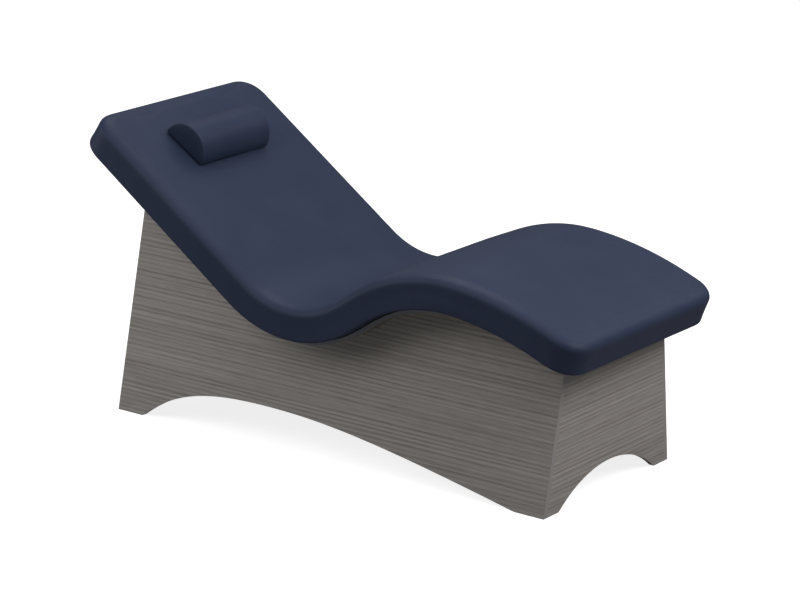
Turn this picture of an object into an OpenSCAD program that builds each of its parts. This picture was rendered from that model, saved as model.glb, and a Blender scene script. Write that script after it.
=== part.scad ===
// Spa relaxation lounger: an S-curved mattress on a bent plywood deck, carried by a
// base of four leaning laminate panels, with a half-round neck bolster.
// X runs from the head end (-X) to the foot end (+X), Y is the width, the floor is z = 0.
// The origin is on the floor, under the middle of the overall length and width.
// Everything is drawn about the lowest point of the seat and then moved to that origin.
// Places on the contour are given as s, the distance along the mattress underside from
// the head end, and h, the height above that underside, square to it.

/* [Contour] */
// Length of the straight backrest, along the mattress underside
back_len = 750; // [650:5:800]
// Slope of the backrest, in degrees from level
back_angle = 35.3; // [31:0.1:38]
// Radius of the seat hollow, at the mattress underside
seat_r = 423; // [380:1:480]
// Steepest slope of the thigh rest, in degrees from level
thigh_angle = 34; // [30:0.5:37]
// Length of the straight thigh rest
thigh_len = 66.5; // [40:0.5:100]
// Radius of the knee, at the mattress underside
knee_r = 488; // [440:1:560]
// Slope past the knee, where the flatter calf curve begins
knee_angle = 6; // [4:0.5:9]
// Radius of the calf curve, at the mattress underside
calf_r = 1103; // [950:1:1300]
// Slope of the foot end, in degrees from level
calf_angle = 22; // [18:0.5:25]
// Length of the straight foot end
calf_len = 121.5; // [100:0.5:160]
// Height of the mattress underside above the floor at the seat's lowest point
seat_low_h = 387.5; // [340:0.5:430]

/* [Mattress] */
// Width of the mattress
mattress_w = 760; // [720:5:820]
// Thickness of the mattress, square to its surface
mattress_thick = 106.5; // [90:0.5:120]
// Plan radius of the mattress corners
corner_r = 74; // [65:1:90]
// Radius of the upper edge
edge_r = 32.5; // [24:0.5:36]
// Radius of the lower edge
base_edge_r = 6; // [4:0.5:9]
// Rise of the upper surface towards its middle
crown_h = 4; // [2:0.5:8]
// How far the side walls draw in at half height
wall_draw = 2.5; // [1:0.5:5]
// Thickness of the cover
cover_thick = 2; // [1.5:0.1:2.5]
// Width of the cover's hem under the mattress
hem_w = 58; // [50:1:62]
// Height of the firm support foam
support_h = 52; // [40:1:60]

/* [Bolster] */
// Length of the bolster, across the mattress
bolster_len = 324; // [260:1:400]
// Radius of the half-round bolster
bolster_r = 82; // [65:1:90]
// Distance from the head end to the middle of the bolster
bolster_s = 228; // [200:1:300]
// Thickness of the bolster cover
bolster_cover_thick = 1.5; // [1.2:0.1:2]
// Slide of the bolster each way from where it lies
bolster_travel = 60; // [20:1:80]

/* [Hook and loop strips] */
// Thickness of one strip
strip_thick = 1.5; // [1:0.1:2]
// Width of one strip
strip_w = 50; // [30:1:60]
// Distance between the two strips that hold the bolster
bolster_strip_gap = 160; // [120:1:200]
// Distance from the mattress sides to the middle of the strips that hold it
mattress_strip_inset = 130; // [100:5:160]
// Distance from the mattress ends to the strips that hold it
strip_end = 150; // [100:5:250]

/* [Deck] */
// Thickness of the bent plywood deck
deck_thick = 12; // [9:0.5:15]
// How far the deck lies in from the mattress edge
deck_inset = 30; // [20:1:40]
// Thickness of the strips on the deck edge and on the panel ends
band_thick = 1; // [0.5:0.1:2]

/* [Frame under the deck] */
// Thickness of a lengthwise rib
rib_thick = 18; // [15:1:22]
// Depth of a rib, square to the deck
rib_depth = 110; // [90:1:130]
// Distance from the mattress sides to the middle of the ribs
rib_inset = 229; // [220:1:260]
// Thickness of a cross rail
rail_thick = 18; // [15:1:22]
// Depth of a cross rail under the deck
rail_depth = 170; // [140:1:190]
// Side of the glue blocks at the rail ends
block_w = 30; // [20:1:36]

/* [Base] */
// How far the mattress's underside stands out past the base's foot at the head end
head_overhang = 91; // [80:1:120]
// How far the mattress's underside stands out past the base at the foot end
foot_overhang = 110.8; // [90:0.1:130]
// How far the mattress stands out past the base's feet at each side
side_overhang = 44.8; // [36:0.1:60]
// Lean of the side panels inwards, in degrees
side_lean_angle = 8.64; // [6:0.01:10]
// Lean of the head end panel inwards, in degrees
head_lean_angle = 3.9; // [2:0.01:7]
// Lean of the foot end panel inwards, in degrees: below zero, as it leans out a little
foot_lean_angle = -2.52; // [-4:0.01:2]
// Thickness of the laminate panels
panel_thick = 16; // [15:0.5:19]
// Floor length of a side panel's foot at the head end
side_foot_head = 105.5; // [90:0.5:130]
// Floor length of a side panel's foot at the foot end
side_foot_foot = 106; // [90:0.5:130]
// Distance from the base's head end to the top of the side arch
side_arch_peak = 588; // [500:1:700]
// Height of the side arch
side_arch_h = 128; // [100:1:150]
// Floor length of an end panel's foot, from the side of the base
end_foot_w = 78; // [70:1:110]
// Height of the end arches
end_arch_h = 94.5; // [70:0.5:120]
// Rounding where the arches meet the floor
arch_corner_r = 10; // [6:1:16]

/* [Posts and glides] */
// Side of a corner post
post_w = 40; // [36:1:44]
// Height of the post's lower end above the floor
post_lift = 12; // [11:0.5:20]
// Diameter of a glide's foot
glide_d = 28; // [22:1:32]
// Height of a glide's foot
glide_h = 8.5; // [7:0.5:9]
// Diameter of a glide's stem
stem_d = 8; // [6:1:10]
// Travel of a glide
glide_travel = 12; // [8:1:15]

/* [Hidden] */

$fn = 64;

// Clearances
fit_gap = 0.2;
thread_gap = 0.05;
glide_floor_gap = 0.5;
lap_gap = 0.1;
// One overrun for every cut
overrun = 5;

// Sides and ends, as signs along Y and X
right = -1;
left = 1;
head = -1;
foot = 1;

deg = 180 / PI;

// Steps in each stretch of the contour, the corners and the mattress width
contour_steps = [3, 5, 5, 1, 6, 3, 1];
corner_steps = 3;
across_steps = 4;
edge_steps = 3;

// Fasteners
screw_r = 2.4;
screw_head_r = 4.6;
screw_head_h = 3;
deck_screw_len = 45;
post_screw_bite = 10;
post_screw_step = 25;
post_screw_low = 70;
bracket_thick = 2.5;
bracket_w = 30;
bracket_leg = 36;
bracket_screw_r = 2;
bracket_screw_head_r = 4;
bracket_screw_head_h = 2.4;
bracket_screw_bite = 8;
// Where a screw goes through a bracket's leg, from its corner, as a share of the leg
bracket_hole_share = 0.6;

// Threaded insert of a glide
insert_wall = 2;
insert_len = 34;
insert_flange_r = 11;
insert_flange_h = 2;
glide_socket_h = 5;
glide_boss_r = 8;
glide_rim_h = 4;
glide_chamfer = 1.5;
// Stem still above the resting foot when a glide is screwed all the way down
stem_hold = 26;
stem_len = stem_hold + glide_travel;

// Distance from the head end panel to the head cross rail, along the deck
head_rail_gap = 100;
// The other cross rails, each as a stretch of the contour and a share of its length
rail_share = [[1, 0.902], [4, 0.504], [5, 0.588]];
// The deck brackets, each as a cross rail and a share of the way to the next one
bracket_share = [[0, 0.142], [0, 0.52], [1, 0.6], [2, 0.8]];
// The highest screw in a corner post, as a share of the height of the mattress's end
post_screw_share = 0.67;
// Deck screws beside a cross rail, and how many more stand between two rails
rail_screw_gap = 60;
screws_between = [2, 2, 1];
block_len = 120;

// Shape of the side arch: each row is the handle of a curve's end, as shares of the
// arch's run and height on that side of its top
arch_head_share = [0.236, 0.687];
arch_head_top_share = 0.53;
arch_foot_top_share = 0.225;
arch_foot_share = [0.57, 0.855];
arch_steps = 14;
foot_corner_steps = 4;

// The bolster's strips are as long as its whole travel
bolster_strip_len = 2 * bolster_travel;

// Bolster rows from its middle to one end: share of its half length, share of its radius
bolster_half_share = [
    [0, 0.985], [0.45, 0.99], [0.94, 1], [0.972, 0.985], [0.99, 0.93], [0.997, 0.6], [1, 0]
];
bolster_steps = 20;

// The contour: each stretch is its length and its curvature, from the head end
stretches = [
    [back_len, 0],
    [seat_r * back_angle / deg, 1 / seat_r],
    [seat_r * thigh_angle / deg, 1 / seat_r],
    [thigh_len, 0],
    [knee_r * (thigh_angle + knee_angle) / deg, -1 / knee_r],
    [calf_r * (calf_angle - knee_angle) / deg, -1 / calf_r],
    [calf_len, 0]
];
head_start = [
    -seat_r * sin(back_angle) - back_len * cos(back_angle),
    seat_low_h + seat_r * (1 - cos(back_angle)) + back_len * sin(back_angle),
    -back_angle
];

function length_before(n) = n == 0 ? 0 : stretches[n - 1][0] + length_before(n - 1);

// Moves a point and heading [x, z, angle] on by a length with a curvature
function moved(p, len, curve) =
    curve == 0
    ? [p[0] + len * cos(p[2]), p[1] + len * sin(p[2]), p[2]]
    : let (a = p[2] + len * curve * deg)
        [p[0] + (sin(a) - sin(p[2])) / curve, p[1] - (cos(a) - cos(p[2])) / curve, a];

function stretch_start(n) =
    n == 0 ? head_start : moved(stretch_start(n - 1), stretches[n - 1][0], stretches[n - 1][1]);

last = len(stretches) - 1;
starts = [for (n = [0 : last]) stretch_start(n)];
sums = [for (n = [0 : last]) length_before(n)];
path_len = length_before(last + 1);

function stretch_of(s, n = last) = n == 0 || s >= sums[n] ? n : stretch_of(s, n - 1);

// Point and heading on the mattress underside
function at(s) = let (n = stretch_of(s)) moved(starts[n], s - sums[n], stretches[n][1]);

function off(s, h) = let (p = at(s)) [p[0] - h * sin(p[2]), p[1] + h * cos(p[2])];

// Stations where the facets of the mattress, the deck and the ribs meet
mid_stations = [
    for (n = [0 : last - 1])
        let (s0 = n == 0 ? corner_r : sums[n])
            for (j = [1 : contour_steps[n]]) s0 + (sums[n + 1] - s0) * j / contour_steps[n]
];
stations = concat([0, corner_r], mid_stations, [path_len - corner_r, path_len]);

function station_below(s) = max([for (q = stations) if (q <= s && q < path_len) q]);
function station_above(s) = min([for (q = stations) if (q > s || q == path_len) q]);

// Point and heading on the facet under station s
function seat(s, h) =
    let (
        a = station_below(s),
        b = station_above(s),
        share = (s - a) / (b - a),
        pa = off(a, h),
        pb = off(b, h)
    )
    [
        pa[0] + (pb[0] - pa[0]) * share,
        pa[1] + (pb[1] - pa[1]) * share,
        (at(a)[2] + at(b)[2]) / 2
    ];

function seat_xz(s, h) = let (p = seat(s, h)) [p[0], p[1]];

// Outline of a layer between heights h0 and h1 and stations s0 and s1
function layer_points(h0, h1, s0, s1) =
    let (run = concat([s0], [for (q = stations) if (q > s0 && q < s1) q], [s1]))
    concat(
        [for (s = run) seat_xz(s, h0)],
        [for (i = [len(run) - 1 : -1 : 0]) seat_xz(run[i], h1)]
    );

// The mattress as rings round its plan outline, each at an inset and a height
sections = len(mid_stations) + 1 + 2 * corner_steps;
ring_size = 2 * (sections + 1) + 2 * (across_steps - 1);

// Station and half width of section k, on the outline inset by i
function section_at(k, i) =
    let (
        corner = min(k, sections - k),
        turn = 90 * corner / corner_steps,
        corner_s = i + (corner_r - i) * (1 - cos(turn)),
        corner_y = mattress_w / 2 - corner_r + (corner_r - i) * sin(turn),
        mid_s = mid_stations[k - corner_steps - 1]
    )
    corner > corner_steps
    ? [mid_s, mattress_w / 2 - i]
    : [k < sections / 2 ? corner_s : path_len - corner_s, corner_y];

function contour_point(s, h, y) = let (p = off(s, h)) [p[0], y, p[1]];

// Point of section k at a share of the width, from -1 on the right to 1 on the left
function ring_point(k, i, h, share) =
    let (c = section_at(k, i)) contour_point(c[0], h, c[1] * share);

function ring(i, h) = concat(
    [for (k = [0 : sections]) ring_point(k, i, h, right)],
    [for (m = [1 : across_steps - 1]) ring_point(sections, i, h, 2 * m / across_steps - 1)],
    [for (k = [sections : -1 : 0]) ring_point(k, i, h, left)],
    [for (m = [across_steps - 1 : -1 : 1]) ring_point(0, i, h, 2 * m / across_steps - 1)]
);

function crown_at(share) = 1 - pow(abs(share), 4);

// Points inside the first or last ring, which rise by up to a crown
function cap_points(i, h, crown) = [
    for (k = [1 : sections - 1])
        for (m = [1 : across_steps - 1])
            let (share = 2 * m / across_steps - 1) ring_point(k, i, h + crown * crown_at(share), share)
];

function cap_index(k, m, ring_start, cap_start) =
    m == 0 ? ring_start + k
    : m == across_steps ? ring_start + sections + across_steps + sections - k
    : k == sections ? ring_start + sections + m
    : k == 0 ? ring_start + 2 * (sections + 1) + 2 * (across_steps - 1) - m
    : cap_start + (k - 1) * (across_steps - 1) + m - 1;

function cap_faces(ring_start, cap_start, upward) = [
    for (k = [0 : sections - 1])
        for (m = [0 : across_steps - 1])
            let (
                a = cap_index(k, m, ring_start, cap_start),
                b = cap_index(k, m + 1, ring_start, cap_start),
                c = cap_index(k + 1, m + 1, ring_start, cap_start),
                d = cap_index(k + 1, m, ring_start, cap_start)
            )
            each upward ? [[a, b, c], [a, c, d]] : [[a, c, b], [a, d, c]]
];

function band_faces(a, b) = [
    for (p = [0 : ring_size - 1])
        let (q = (p + 1) % ring_size) each [[a + p, b + p, b + q], [a + p, b + q, a + q]]
];

// A closed body through a list of rings [inset, height], with a cap on the first ring
// that faces down and one on the last ring that faces up
module ring_body(rings, first_crown, last_crown) {
    count = len(rings);
    first = rings[0];
    final = rings[count - 1];
    first_cap = count * ring_size;
    final_cap = first_cap + (sections - 1) * (across_steps - 1);
    points = concat(
        [for (r = rings) each ring(r[0], r[1])],
        cap_points(first[0], first[1], first_crown),
        cap_points(final[0], final[1], last_crown)
    );
    faces = concat(
        [for (j = [0 : count - 2]) each band_faces(j * ring_size, (j + 1) * ring_size)],
        cap_faces(0, first_cap, false),
        cap_faces((count - 1) * ring_size, final_cap, true)
    );
    polyhedron(points, faces);
}

// Outer wall of the mattress, from its hem up to the crowned top
wall_mid_h = (base_edge_r + mattress_thick - edge_r) / 2;
function edge_ring(turn, t) = [
    edge_r - (edge_r - t) * cos(turn),
    mattress_thick - edge_r + (edge_r - t) * sin(turn)
];
outer_rings = concat(
    [[hem_w, 0], [base_edge_r, 0], [0, base_edge_r], [wall_draw, wall_mid_h]],
    [for (j = [0 : edge_steps]) edge_ring(90 * j / edge_steps, 0)]
);
// The same wall inside the cover, from the top down to the hem
function inner_rings(t) = [
    edge_ring(90, t), edge_ring(45, t), edge_ring(0, t), [wall_draw + t, wall_mid_h],
    [t, base_edge_r], [base_edge_r, t], [hem_w, t]
];

// Inset of the inner wall at a height between its waist and the upper edge
function wall_inset(h, t) =
    t + wall_draw * (mattress_thick - edge_r - h) / (mattress_thick - edge_r - wall_mid_h);

// Overall length, from the outermost points of the mattress
outer_xs = [for (r = outer_rings) each [for (p = ring(r[0], r[1])) p[0]]];
mid_x = (min(outer_xs) + max(outer_xs)) / 2;

module at_origin() {
    translate([-mid_x, 0, 0]) children();
}

// Puts a child on the facet at station s and height h, with its X along the contour
module on_contour(s, h, y = 0) {
    p = seat(s, h);
    translate([p[0], y, p[1]]) rotate([0, -p[2], 0]) children();
}

cut_span = 2 * path_len;

// An outline in X and Z, drawn out across the width
module along_y(w, y = 0) {
    translate([0, y, 0]) rotate([90, 0, 0]) linear_extrude(w, center = true) children();
}

// An outline in Y and Z, drawn out along the length
module along_x() {
    rotate([90, 0, 90]) linear_extrude(cut_span, center = true) children();
}

// Layer of the contour between two heights and two stations
module layer(h0, h1, s0, s1, w, y = 0) {
    along_y(w, y) polygon(layer_points(h0, h1, s0, s1));
}

module corner_cut(end, side, inset) {
    r = corner_r - inset;
    p = at(end == head ? 0 : path_len);
    translate([p[0], 0, p[1]]) rotate([0, -p[2], 0]) scale([-end, side, 1])
        translate([inset, inset - mattress_w / 2, 0]) linear_extrude(mattress_w, center = true)
            difference() {
                translate([-overrun, -overrun]) square(r + overrun);
                translate([r, r]) circle(r);
            }
}

// A contour board with the mattress's rounded plan, inset all round
module contour_board(h0, h1, inset) {
    difference() {
        layer(h0, h1, inset, path_len - inset, mattress_w - 2 * inset);
        for (end = [head, foot]) {
            for (side = [right, left]) {
                corner_cut(end, side, inset);
            }
        }
    }
}

deck_top = -2 * strip_thick;
deck_under = deck_top - deck_thick;
panel_top_z = head_start[1];

// The base's feet at the head end and the foot end
base_head_x = head_start[0] + head_overhang;
base_foot_x = at(path_len)[0] - foot_overhang;
base_len = base_foot_x - base_head_x;
base_offset = (base_head_x + base_foot_x) / 2;
base_w = mattress_w - 2 * side_overhang;

// Station where the head end panel's inner face meets the straight deck under the back
head_panel_s =
    (
        head_overhang - deck_under * sin(back_angle) + panel_thick / cos(head_lean_angle)
        + (panel_top_z + deck_under * cos(back_angle)) * tan(head_lean_angle)
    ) / (cos(back_angle) + sin(back_angle) * tan(head_lean_angle));

// Stations of the cross rails, the deck screws and the brackets, along the contour
rail_ss = concat(
    [head_panel_s + head_rail_gap],
    [for (q = rail_share) sums[q[0]] + q[1] * stretches[q[0]][0]]
);
deck_screw_ss = concat(
    [for (s = rail_ss) s - rail_screw_gap],
    [for (n = [0 : len(rail_ss) - 2])
        for (j = [0 : screws_between[n]])
            let (a = rail_ss[n] + rail_screw_gap, b = rail_ss[n + 1] - rail_screw_gap)
                a + (b - a) * j / (screws_between[n] + 1)]
);
bracket_ss = [for (q = bracket_share) rail_ss[q[0]] + q[1] * (rail_ss[q[0] + 1] - rail_ss[q[0]])];

// Heights of the screws in the posts at one end, from the mattress's height there
function post_screw_zs(end) =
    let (
        top_z = at(end == head ? 0 : path_len)[1] * post_screw_share,
        mid_z = (post_screw_low + top_z) / 2
    )
    end == head ? [post_screw_low, mid_z, top_z] : [post_screw_low, top_z];

// Everything under the deck
module under_deck() {
    along_y(cut_span) polygon(concat(
        [for (s = stations) seat_xz(s, deck_under)],
        [[off(path_len, deck_under)[0], 0], [off(0, deck_under)[0], 0]]
    ));
}

// Half width of the base at a height and a depth into the side panel
function side_y(z, depth) =
    base_w / 2 - z * tan(side_lean_angle) - depth / cos(side_lean_angle);

function lean_of(end) = end == head ? head_lean_angle : foot_lean_angle;

// Place along X of an end panel's face at a height and a depth into the panel
function end_x(end, z, depth) =
    base_offset + end * (base_len / 2 - z * tan(lean_of(end)) - depth / cos(lean_of(end)));

// A leaning slab that lies at a depth behind a side panel's outer face
module side_slab(side, depth0, depth1) {
    along_x() polygon([
        [side * side_y(0, depth0), 0],
        [side * side_y(panel_top_z, depth0), panel_top_z],
        [side * side_y(panel_top_z, depth1), panel_top_z],
        [side * side_y(0, depth1), 0]
    ]);
}

module end_slab(end, depth0, depth1) {
    along_y(cut_span) polygon([
        [end_x(end, 0, depth0), 0],
        [end_x(end, panel_top_z, depth0), panel_top_z],
        [end_x(end, panel_top_z, depth1), panel_top_z],
        [end_x(end, 0, depth1), 0]
    ]);
}

module between_sides(depth) {
    along_x() polygon([
        [-side_y(0, depth), 0],
        [-side_y(panel_top_z, depth), panel_top_z],
        [side_y(panel_top_z, depth), panel_top_z],
        [side_y(0, depth), 0]
    ]);
}

module between_ends(depth) {
    along_y(cut_span) polygon([
        [end_x(head, 0, depth), 0],
        [end_x(head, panel_top_z, depth), panel_top_z],
        [end_x(foot, panel_top_z, depth), panel_top_z],
        [end_x(foot, 0, depth), 0]
    ]);
}

// Rounded corner of a panel's foot, from the floor at x up to an arch that rises at an
// angle towards dir
function foot_corner(x, rise, dir) = [
    for (j = [0 : foot_corner_steps])
        let (a = rise * j / foot_corner_steps)
            [x + dir * arch_corner_r * sin(a), arch_corner_r * (1 - cos(a))]
];

function reversed(points) = [for (i = [len(points) - 1 : -1 : 0]) points[i]];

function curve_point(p, q, r, s, t) =
    pow(1 - t, 3) * p + 3 * pow(1 - t, 2) * t * q + 3 * (1 - t) * t * t * r + pow(t, 3) * s;

// The side arch: two curves that meet level at its top
arch_head_x = base_head_x + side_foot_head;
arch_foot_x = base_foot_x - side_foot_foot;
arch_top_x = base_head_x + side_arch_peak;
arch_head_run = arch_top_x - arch_head_x;
arch_foot_run = arch_foot_x - arch_top_x;
arch_head_handle = [arch_head_share[0] * arch_head_run, arch_head_share[1] * side_arch_h];
arch_foot_handle = [-arch_foot_share[0] * arch_foot_run, arch_foot_share[1] * side_arch_h];

module side_arch() {
    a = [arch_head_x, 0];
    b = [arch_top_x, side_arch_h];
    c = [arch_foot_x, 0];
    head_curve = [for (j = [1 : arch_steps]) curve_point(
        a, a + arch_head_handle, b - [arch_head_top_share * arch_head_run, 0], b, j / arch_steps)];
    foot_curve = [for (j = [1 : arch_steps - 1]) curve_point(
        b, b + [arch_foot_top_share * arch_foot_run, 0], c + arch_foot_handle, c, j / arch_steps)];
    head_run = head_curve[0] - a;
    foot_run = c - foot_curve[arch_steps - 2];
    head_rise = atan2(head_run[1], head_run[0]);
    foot_rise = atan2(-foot_run[1], foot_run[0]);
    head_x = arch_head_x - arch_corner_r * tan(head_rise / 2);
    foot_x = arch_foot_x + arch_corner_r * tan(foot_rise / 2);
    polygon(concat(
        [[head_x, -overrun]],
        foot_corner(head_x, head_rise, 1),
        head_curve,
        foot_curve,
        reversed(foot_corner(foot_x, foot_rise, -1)),
        [[foot_x, -overrun]]
    ));
}

// The end arch: part of a circle, with corners that end a little inside it
module end_arch() {
    half = base_w / 2 - end_foot_w;
    r = (half * half + end_arch_h * end_arch_h) / (2 * end_arch_h);
    middle_z = end_arch_h - r;
    reach = r + arch_corner_r;
    rise = acos((arch_corner_r - middle_z) / reach);
    corner_y = reach * sin(rise);
    sunk = r - fit_gap / 2;
    translate([0, middle_z]) circle(r, $fn = 256);
    for (side = [right, left]) {
        corner = foot_corner(side * corner_y, rise, -side);
        polygon(concat(
            [[side * corner_y, -overrun]],
            [for (j = [0 : foot_corner_steps - 1]) corner[j]],
            [[side * sunk * sin(rise), middle_z + sunk * cos(rise)], [side * (half - overrun), -overrun]]
        ));
    }
}

// A countersunk screw, its head at the origin and its shank along +Z
module wood_screw(len, gap = 0) {
    cylinder(h = len, r = screw_r + gap);
    cylinder(h = screw_head_h, r1 = screw_head_r + gap, r2 = screw_r + gap);
}

// A round-headed screw, the underside of its head at the origin and its shank along +Z
module pan_screw(len, gap = 0) {
    cylinder(h = len, r = bracket_screw_r + gap);
    translate([0, 0, -bracket_screw_head_h])
        cylinder(h = bracket_screw_head_h, r = bracket_screw_head_r + gap);
}

rib_y = mattress_w / 2 - rib_inset;

module at_deck_screws(side) {
    for (s = deck_screw_ss) {
        on_contour(s, deck_top, side * rib_y) rotate([180, 0, 0]) children();
    }
}

// Turns a child's Z into the side panel, square to it
module into_side(side) {
    rotate([-side * (90 - side_lean_angle), 0, 0]) children();
}

module into_end(end) {
    rotate([0, end * (90 - lean_of(end)), 0]) children();
}

post_mid = panel_thick + post_w / 2;
post_in = panel_thick + post_w;

module at_side_post_screws(side, end) {
    for (z = post_screw_zs(end)) {
        translate([end_x(end, z, post_mid), side * side_y(z, post_in), z]) into_side(side) children();
    }
}

module at_end_post_screws(side, end) {
    for (z0 = post_screw_zs(end)) {
        z = z0 + post_screw_step;
        translate([end_x(end, z, post_in), side * side_y(z, post_mid), z]) into_end(end) children();
    }
}

bracket_reach = bracket_leg * bracket_hole_share;

module at_panel_bracket_screws(side) {
    for (s = bracket_ss) {
        p = seat(s, deck_under - bracket_reach);
        translate([p[0], side * side_y(p[1], panel_thick + bracket_thick), p[1]])
            into_side(side) children();
    }
}

module at_deck_bracket_screws(side) {
    for (s = bracket_ss) {
        p = seat(s, deck_under - bracket_thick);
        on_contour(s, deck_under - bracket_thick, side * side_y(p[1], panel_thick + bracket_reach))
            children();
    }
}

module mattress_cover() {
    color("#3a415a") at_origin()
        ring_body(concat(inner_rings(cover_thick), outer_rings), crown_h, crown_h);
}

module comfort_foam() {
    t = cover_thick + fit_gap;
    low = support_h + fit_gap;
    color("#e8e0b8") at_origin() ring_body(
        [[wall_inset(low, t), low], edge_ring(0, t), edge_ring(45, t), edge_ring(90, t)],
        0, crown_h
    );
}

module support_foam() {
    t = cover_thick + fit_gap;
    low_edge = base_edge_r + fit_gap;
    color("#c9d4dc") at_origin() ring_body(
        [
            [low_edge, t], [t, low_edge],
            [wall_draw + t, wall_mid_h], [wall_inset(support_h, t), support_h]
        ],
        0, 0
    );
}

// How far the facets of the hem's corners stand inside their round
hem_facet_rise = (corner_r - hem_w) * (1 - cos(45 / corner_steps));

module mattress_bottom_cloth() {
    color("#1b1d22") at_origin()
        contour_board(0, cover_thick, hem_w + hem_facet_rise + fit_gap);
}

module mattress_hook_strips() {
    color("#14161b") at_origin() for (side = [right, left]) {
        layer(
            -strip_thick, 0, strip_end, path_len - strip_end,
            strip_w, side * (mattress_w / 2 - mattress_strip_inset)
        );
    }
}

module deck_loop_strips() {
    color("#20232a") at_origin() for (side = [right, left]) {
        layer(
            deck_top, -strip_thick, strip_end, path_len - strip_end,
            strip_w, side * (mattress_w / 2 - mattress_strip_inset)
        );
    }
}

// Heights of what lies on the backrest, above the mattress underside
back_top = mattress_thick + crown_h + fit_gap / 2;
hook_low = back_top + strip_thick + fit_gap;
bolster_low = hook_low + strip_thick;

module bolster_strips(h) {
    for (side = [right, left]) {
        on_contour(bolster_s, h, side * bolster_strip_gap / 2)
            translate([-bolster_strip_len / 2, -strip_w / 2, 0])
                cube([bolster_strip_len, strip_w, strip_thick]);
    }
}

module headrest_loop_strips() {
    color("#262c40") at_origin() bolster_strips(back_top);
}

module bolster_hook_strips() {
    color("#14161b") at_origin() bolster_strips(hook_low);
}

// The bolster's rows from one end to the other, without its two end points
bolster_rows = concat(
    [for (i = [len(bolster_half_share) - 2 : -1 : 1])
        [-bolster_half_share[i][0], bolster_half_share[i][1]]],
    [for (i = [0 : len(bolster_half_share) - 2]) bolster_half_share[i]]
);
bolster_size = 2 + len(bolster_rows) * (bolster_steps + 1);

function bolster_points(t) = concat(
    [[0, t - bolster_len / 2, 0]],
    [for (row = bolster_rows)
        for (j = [0 : bolster_steps])
            let (a = 180 * j / bolster_steps, r = bolster_r * row[1] - t)
                [r * cos(a), row[0] * (bolster_len / 2 - t), r * sin(a)]],
    [[0, bolster_len / 2 - t, 0]]
);

function bolster_index(row, j, first) =
    row < 0 ? first
    : row >= len(bolster_rows) ? first + bolster_size - 1
    : first + 1 + row * (bolster_steps + 1) + j;

// Two triangles of a patch, less one where the patch meets an end point
function patch(a, b, c, d) = [
    for (f = [[a, b, c], [a, c, d]])
        if (f[0] != f[1] && f[1] != f[2] && f[0] != f[2]) f
];

function dome_faces(first, outward) = [
    for (row = [-1 : len(bolster_rows) - 1])
        for (j = [0 : bolster_steps - 1])
            let (
                a = bolster_index(row, j, first),
                b = bolster_index(row, j + 1, first),
                c = bolster_index(row + 1, j + 1, first),
                d = bolster_index(row + 1, j, first)
            )
            each outward ? patch(a, b, c, d) : patch(a, d, c, b)
];

// The strip between two edges of the dome, each given as its first index and its column
function edge_faces(first_a, col_a, first_b, col_b) = [
    for (row = [-1 : len(bolster_rows) - 1])
        each patch(
            bolster_index(row + 1, col_a, first_a), bolster_index(row + 1, col_b, first_b),
            bolster_index(row, col_b, first_b), bolster_index(row, col_a, first_a)
        )
];

module bolster_cover() {
    color("#3d4560") at_origin() on_contour(bolster_s, bolster_low) polyhedron(
        concat(bolster_points(0), bolster_points(bolster_cover_thick)),
        concat(
            dome_faces(0, true),
            dome_faces(bolster_size, false),
            edge_faces(0, 0, bolster_size, 0),
            edge_faces(bolster_size, bolster_steps, 0, bolster_steps)
        )
    );
}

module bolster_foam() {
    lift = bolster_cover_thick + fit_gap;
    t = bolster_cover_thick + 2 * fit_gap;
    color("#e8e0b8") at_origin() intersection() {
        on_contour(bolster_s, bolster_low) polyhedron(
            bolster_points(t),
            concat(dome_faces(0, true), edge_faces(0, 0, 0, bolster_steps))
        );
        on_contour(bolster_s, bolster_low + lift)
            translate([-bolster_r, -bolster_len / 2, 0]) cube([2 * bolster_r, bolster_len, bolster_r]);
    }
}

module bolster_base_cloth() {
    reach = bolster_cover_thick + 2 * fit_gap;
    rim = bolster_half_share[len(bolster_half_share) - 3];
    half_w = bolster_r * rim[1] - reach;
    half_len = rim[0] * (bolster_len / 2 - reach) - reach;
    color("#1b1d22") at_origin() on_contour(bolster_s, bolster_low)
        translate([-half_w, -half_len, 0]) cube([2 * half_w, 2 * half_len, bolster_cover_thick]);
}

module contour_deck() {
    color("#b79a6b") at_origin() difference() {
        contour_board(deck_under, deck_top, deck_inset + band_thick);
        for (side = [right, left]) {
            at_deck_screws(side) wood_screw(deck_screw_len, thread_gap);
            at_deck_bracket_screws(side) pan_screw(bracket_thick + bracket_screw_bite, thread_gap);
        }
    }
}

module deck_edge_band() {
    color("#74767c") at_origin() difference() {
        contour_board(deck_under, deck_top, deck_inset);
        contour_board(deck_under - overrun, deck_top + overrun, deck_inset + band_thick);
    }
}

module deck_screws() {
    color("#b9bcc0") at_origin() for (side = [right, left]) {
        at_deck_screws(side) wood_screw(deck_screw_len);
    }
}

function rail_point(n) = seat(rail_ss[n], deck_under);

module rib(side) {
    color("#b79a6b") at_origin() difference() {
        intersection() {
            layer(deck_under - rib_depth, deck_under, 0, path_len, rib_thick, side * rib_y);
            between_ends(panel_thick);
        }
        for (n = [0 : len(rail_ss) - 1]) {
            p = rail_point(n);
            w = rail_thick + 2 * lap_gap;
            translate([p[0] - w / 2, side * rib_y - rib_thick, p[1] - 2 * rib_depth])
                cube([w, 2 * rib_thick, 1.5 * rib_depth]);
        }
        at_deck_screws(side) wood_screw(deck_screw_len, thread_gap);
    }
}

module right_rib() { rib(right); }
module left_rib() { rib(left); }

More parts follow.
